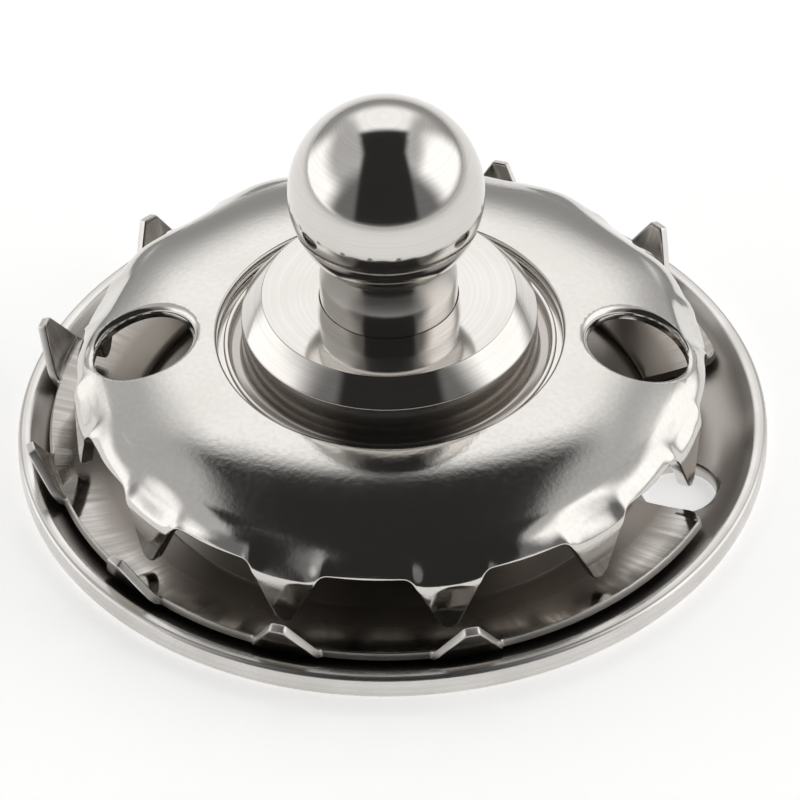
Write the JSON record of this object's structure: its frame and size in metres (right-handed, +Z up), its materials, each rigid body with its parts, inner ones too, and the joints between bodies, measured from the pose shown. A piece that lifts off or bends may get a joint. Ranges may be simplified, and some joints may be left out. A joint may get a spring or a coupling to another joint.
{
  "type": "snap fastener",
  "caption": "Upper half of a lift-to-release cloth snap fastener: ball knob, domed toothed cover, open claw ring and screwed backing plate, with sprung jaws inside.",
  "frame": {"origin": "middle of the backing plate's flat underside", "axes": "+Z up through the knob; -Y is the side that the picture shows in front, +X to its right"},
  "size_m": [0.02, 0.02, 0.0115],
  "materials": {
    "bright_nickel": "polished",
    "satin_nickel": "satin",
    "inner_nickel": "gloss",
    "spring_steel": "satin"
  },
  "bodies": {
    "housing": {"housing_bush": "bright_nickel", "seat_ring": "inner_nickel", "dome_plate": "bright_nickel", "backing_plate": "satin_nickel", "claw_ring": "inner_nickel", "return_spring": "spring_steel"},
    "lifter": {"lifter": "inner_nickel"},
    "knob": {"pull_knob": "bright_nickel"},
    "jaw_1": {"locking_jaw_1": "inner_nickel"},
    "jaw_2": {"locking_jaw_2": "inner_nickel"},
    "jaw_3": {"locking_jaw_3": "inner_nickel"},
    "jaw_4": {"locking_jaw_4": "inner_nickel"}
  },
  "joints": [
    {"name": "knob_lift", "type": "slide", "parent": "housing", "child": "lifter", "axis": [0, 0, 1], "range_m": [0, 0.0014], "stiffness_N_per_m": 800, "springref_m": -0.002, "deforming": ["return_spring"]},
    {"name": "knob_turn", "type": "hinge", "parent": "lifter", "child": "knob", "pos_m": [0, 0, 0], "axis": [0, 0, 1], "continuous": true},
    {"name": "jaw_1_slide", "type": "slide", "parent": "housing", "child": "jaw_1", "axis": [0.342, 0, 0.9397], "range_m": [0, 0.00149]},
    {"name": "jaw_2_slide", "type": "slide", "parent": "housing", "child": "jaw_2", "axis": [0, 0.342, 0.9397], "range_m": [0, 0.00149]},
    {"name": "jaw_3_slide", "type": "slide", "parent": "housing", "child": "jaw_3", "axis": [-0.342, 0, 0.9397], "range_m": [0, 0.00149]},
    {"name": "jaw_4_slide", "type": "slide", "parent": "housing", "child": "jaw_4", "axis": [0, -0.342, 0.9397], "range_m": [0, 0.00149]}
  ],
  "couplings": [
    {"joint": "jaw_1_slide", "follows": "knob_lift", "ratio": 1.0642},
    {"joint": "jaw_2_slide", "follows": "knob_lift", "ratio": 1.0642},
    {"joint": "jaw_3_slide", "follows": "knob_lift", "ratio": 1.0642},
    {"joint": "jaw_4_slide", "follows": "knob_lift", "ratio": 1.0642}
  ]
}
